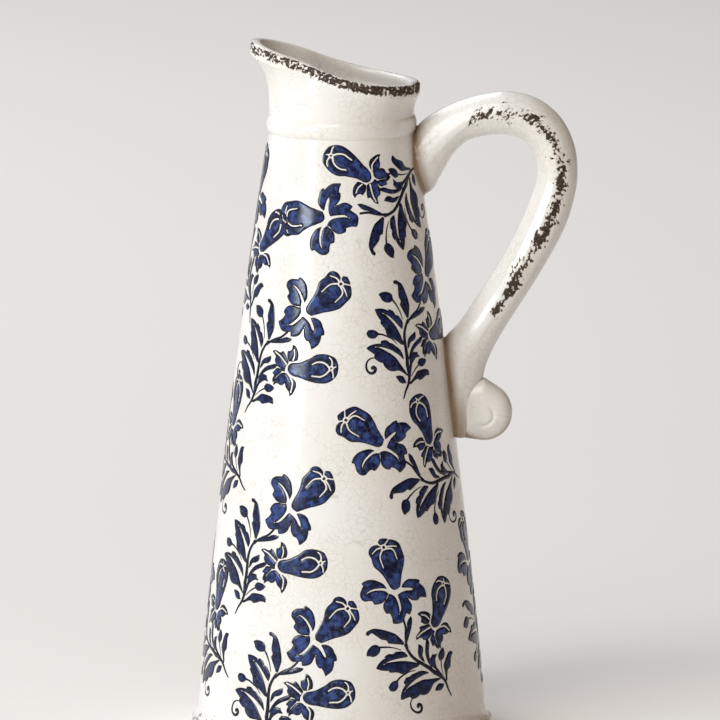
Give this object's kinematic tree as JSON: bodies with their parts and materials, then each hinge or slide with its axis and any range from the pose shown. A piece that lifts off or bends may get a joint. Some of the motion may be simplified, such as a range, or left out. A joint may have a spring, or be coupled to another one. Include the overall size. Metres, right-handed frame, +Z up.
{
  "type": "ceramic pitcher",
  "caption": "Tall tapered crackle-glazed ceramic pitcher with a flared foot, a swept pouring lip, a looped scroll handle and blue floral decoration.",
  "frame": {"origin": "centre of the foot's resting face, on the axis of the body", "axes": "+Z up along the body's axis, -X towards the pouring spout, +X towards the handle, +Y completes a right-handed frame"},
  "size_m": [0.2008, 0.1564, 0.3615],
  "materials": {
    "body_glaze": "glossy cream crackle glaze",
    "foot_glaze": "cream crackle glaze, worn to brown clay along the edge",
    "rim_glaze": "cream crackle glaze, chipped to dark brown along the edge",
    "handle_glaze": "glossy cream crackle glaze with a worn brown ridge",
    "joint_slip": "pooled amber glaze",
    "cobalt_glaze": "glossy cobalt blue glaze over low relief"
  },
  "bodies": {
    "root": {"body_wall": "body_glaze", "floor_disc": "body_glaze", "foot_ring": "foot_glaze", "shoulder_band": "body_glaze", "neck": "body_glaze", "rim": "rim_glaze", "handle": "handle_glaze", "scroll": "handle_glaze", "upper_slip": "joint_slip", "lower_slip": "joint_slip"}
  },
  "joints": []
}
